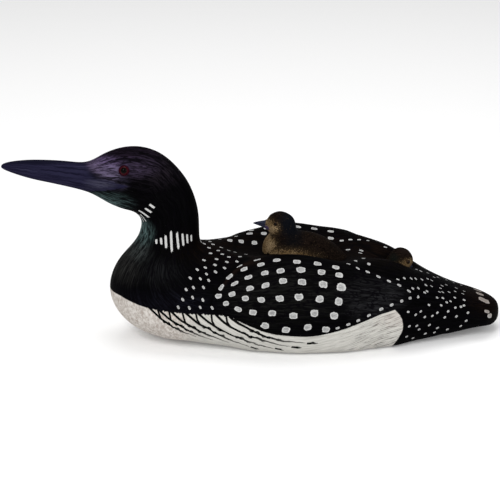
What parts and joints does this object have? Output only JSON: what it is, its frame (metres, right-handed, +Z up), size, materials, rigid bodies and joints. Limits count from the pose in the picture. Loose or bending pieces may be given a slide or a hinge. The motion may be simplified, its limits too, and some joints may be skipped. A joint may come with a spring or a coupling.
{
  "type": "loon decoy",
  "caption": "Carved and painted loon decoy resting on its flat underside, head raised, with small chicks riding on its back and set-in glass eyes.",
  "frame": {"origin": "on the ground, under the middle of the overall length and width", "axes": "+X toward the tail, so the head looks along -X; the bird's left side faces -Y; +Z up"},
  "size_m": [0.56, 0.1746, 0.2245],
  "materials": {
    "painted_loon": "satin black paint with white markings over combed wood",
    "painted_chick": "satin brown and tan paint",
    "red_glass": "polished dark red glass with a black pupil",
    "dark_glass": "polished dark brown glass"
  },
  "bodies": {
    "root": {"loon": "painted_loon", "front_chick": "painted_chick", "rear_chick": "painted_chick", "loon_eye_left": "red_glass", "loon_eye_right": "red_glass", "front_chick_eye_left": "dark_glass", "front_chick_eye_right": "dark_glass", "rear_chick_eye_left": "dark_glass", "rear_chick_eye_right": "dark_glass"}
  },
  "joints": []
}
